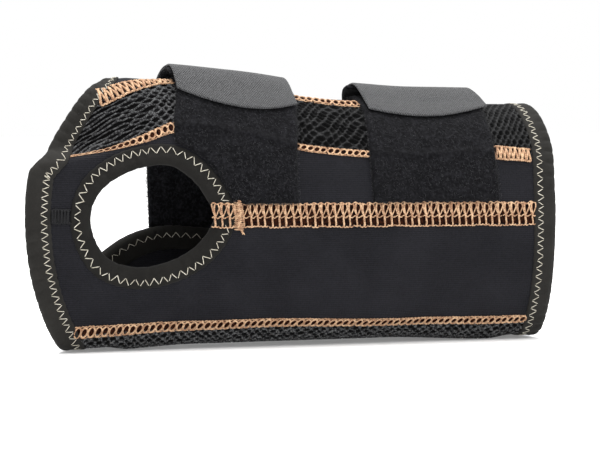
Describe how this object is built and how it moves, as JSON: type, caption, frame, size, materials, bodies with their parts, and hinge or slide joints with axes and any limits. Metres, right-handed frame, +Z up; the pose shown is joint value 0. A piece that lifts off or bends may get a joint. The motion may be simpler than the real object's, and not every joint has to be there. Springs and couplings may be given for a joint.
{
  "type": "wrist brace",
  "caption": "Open wrap-around wrist and hand brace of padded panels and mesh, with a bound thumb hole and straps that close over the back.",
  "frame": {"origin": "middle of the flat lower fold that the brace stands on", "axes": "+X from the hand end to the forearm end, +Y from the palm side with the thumb hole to the open back, +Z up"},
  "size_m": [0.2111, 0.0671, 0.1078],
  "materials": {
    "neoprene": "near-black neoprene faced with a fine flat knit, slight sheen",
    "mesh": "open black spacer mesh over a dark ground",
    "tape": "soft dark olive-grey binding tape with a cream zigzag stitch",
    "loop": "matte black brushed loop pile",
    "strap": "black webbing with a brushed face",
    "hook": "grey woven back of a hook tape with a fine diagonal twill",
    "seam_thread": "tan flatlock sewing thread",
    "zigzag_thread": "cream sewing thread"
  },
  "bodies": {
    "root": {"palm_panel": "neoprene", "wrist_panel": "neoprene", "top_mesh_panel": "mesh", "upper_back_panel": "neoprene", "bottom_mesh_panel": "mesh", "lower_back_panel": "neoprene", "hand_binding": "tape", "forearm_binding": "tape", "upper_flap_binding": "tape", "lower_flap_binding": "tape", "thumb_binding": "tape", "hand_loop_band": "loop", "hand_strap": "strap", "hand_hook_tab": "hook", "forearm_loop_band": "loop", "forearm_strap": "strap", "forearm_hook_tab": "hook"}
  },
  "joints": []
}
